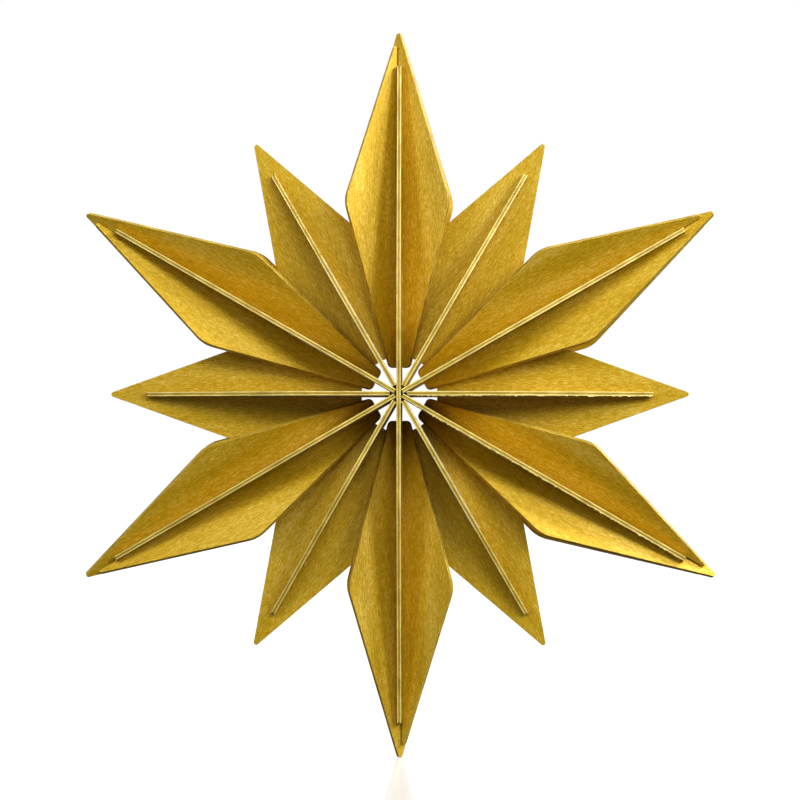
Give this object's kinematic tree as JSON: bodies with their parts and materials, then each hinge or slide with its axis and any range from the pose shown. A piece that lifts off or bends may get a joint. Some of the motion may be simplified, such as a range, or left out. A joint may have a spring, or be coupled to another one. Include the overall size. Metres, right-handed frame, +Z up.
{
  "type": "slot-together plywood star ornament",
  "caption": "Flat-pack plywood star: spines cross at the centre and slotted kite-shaped leaves slide onto them along alternating long and short rays.",
  "frame": {"origin": "centre of the star, where the six spines cross, halfway through their depth", "axes": "+Z up along the 12 o'clock ray; the front of the star faces -Y; +X is to the right seen from the front"},
  "size_m": [0.243, 0.037, 0.2798],
  "materials": {
    "spine_ply": "gold-painted plywood, satin",
    "under_leaf_ply": "gold-painted plywood, satin",
    "over_leaf_ply": "gold-painted plywood, satin",
    "flat_leaf_ply": "gold-painted plywood, satin"
  },
  "bodies": {
    "spine_frame": {"long_spine_12_6": "spine_ply", "long_spine_2_8": "spine_ply", "long_spine_4_10": "spine_ply", "short_spine_1_7": "spine_ply", "short_spine_3_9": "spine_ply", "short_spine_5_11": "spine_ply"},
    "under_leaf_12": {"under_leaf_12": "under_leaf_ply"},
    "over_leaf_12": {"over_leaf_12": "over_leaf_ply"},
    "under_leaf_2": {"under_leaf_2": "under_leaf_ply"},
    "over_leaf_2": {"over_leaf_2": "over_leaf_ply"},
    "under_leaf_4": {"under_leaf_4": "under_leaf_ply"},
    "over_leaf_4": {"over_leaf_4": "over_leaf_ply"},
    "under_leaf_6": {"under_leaf_6": "under_leaf_ply"},
    "over_leaf_6": {"over_leaf_6": "over_leaf_ply"},
    "under_leaf_8": {"under_leaf_8": "under_leaf_ply"},
    "over_leaf_8": {"over_leaf_8": "over_leaf_ply"},
    "under_leaf_10": {"under_leaf_10": "under_leaf_ply"},
    "over_leaf_10": {"over_leaf_10": "over_leaf_ply"},
    "flat_leaf_1": {"flat_leaf_1": "flat_leaf_ply"},
    "flat_leaf_3": {"flat_leaf_3": "flat_leaf_ply"},
    "flat_leaf_5": {"flat_leaf_5": "flat_leaf_ply"},
    "flat_leaf_7": {"flat_leaf_7": "flat_leaf_ply"},
    "flat_leaf_9": {"flat_leaf_9": "flat_leaf_ply"},
    "flat_leaf_11": {"flat_leaf_11": "flat_leaf_ply"}
  },
  "joints": [
    {"name": "under_leaf_12_slide", "type": "slide", "parent": "spine_frame", "child": "under_leaf_12", "axis": [0, 0, 1], "range_m": [0, 0.117]},
    {"name": "over_leaf_12_slide", "type": "slide", "parent": "under_leaf_12", "child": "over_leaf_12", "axis": [0, 0, 1], "range_m": [0, 0.124]},
    {"name": "under_leaf_2_slide", "type": "slide", "parent": "spine_frame", "child": "under_leaf_2", "axis": [0.866, 0, 0.5], "range_m": [0, 0.117]},
    {"name": "over_leaf_2_slide", "type": "slide", "parent": "under_leaf_2", "child": "over_leaf_2", "axis": [0.866, 0, 0.5], "range_m": [0, 0.124]},
    {"name": "under_leaf_4_slide", "type": "slide", "parent": "spine_frame", "child": "under_leaf_4", "axis": [0.866, 0, -0.5], "range_m": [0, 0.117]},
    {"name": "over_leaf_4_slide", "type": "slide", "parent": "under_leaf_4", "child": "over_leaf_4", "axis": [0.866, 0, -0.5], "range_m": [0, 0.124]},
    {"name": "under_leaf_6_slide", "type": "slide", "parent": "spine_frame", "child": "under_leaf_6", "axis": [0, 0, -1], "range_m": [0, 0.117]},
    {"name": "over_leaf_6_slide", "type": "slide", "parent": "under_leaf_6", "child": "over_leaf_6", "axis": [0, 0, -1], "range_m": [0, 0.124]},
    {"name": "under_leaf_8_slide", "type": "slide", "parent": "spine_frame", "child": "under_leaf_8", "axis": [-0.866, 0, -0.5], "range_m": [0, 0.117]},
    {"name": "over_leaf_8_slide", "type": "slide", "parent": "under_leaf_8", "child": "over_leaf_8", "axis": [-0.866, 0, -0.5], "range_m": [0, 0.124]},
    {"name": "under_leaf_10_slide", "type": "slide", "parent": "spine_frame", "child": "under_leaf_10", "axis": [-0.866, 0, 0.5], "range_m": [0, 0.117]},
    {"name": "over_leaf_10_slide", "type": "slide", "parent": "under_leaf_10", "child": "over_leaf_10", "axis": [-0.866, 0, 0.5], "range_m": [0, 0.124]},
    {"name": "flat_leaf_1_slide", "type": "slide", "parent": "spine_frame", "child": "flat_leaf_1", "axis": [0.5, 0, 0.866], "range_m": [0, 0.084]},
    {"name": "flat_leaf_3_slide", "type": "slide", "parent": "spine_frame", "child": "flat_leaf_3", "axis": [1, 0, 0], "range_m": [0, 0.084]},
    {"name": "flat_leaf_5_slide", "type": "slide", "parent": "spine_frame", "child": "flat_leaf_5", "axis": [0.5, 0, -0.866], "range_m": [0, 0.084]},
    {"name": "flat_leaf_7_slide", "type": "slide", "parent": "spine_frame", "child": "flat_leaf_7", "axis": [-0.5, 0, -0.866], "range_m": [0, 0.084]},
    {"name": "flat_leaf_9_slide", "type": "slide", "parent": "spine_frame", "child": "flat_leaf_9", "axis": [-1, 0, 0], "range_m": [0, 0.084]},
    {"name": "flat_leaf_11_slide", "type": "slide", "parent": "spine_frame", "child": "flat_leaf_11", "axis": [-0.5, 0, 0.866], "range_m": [0, 0.084]}
  ]
}
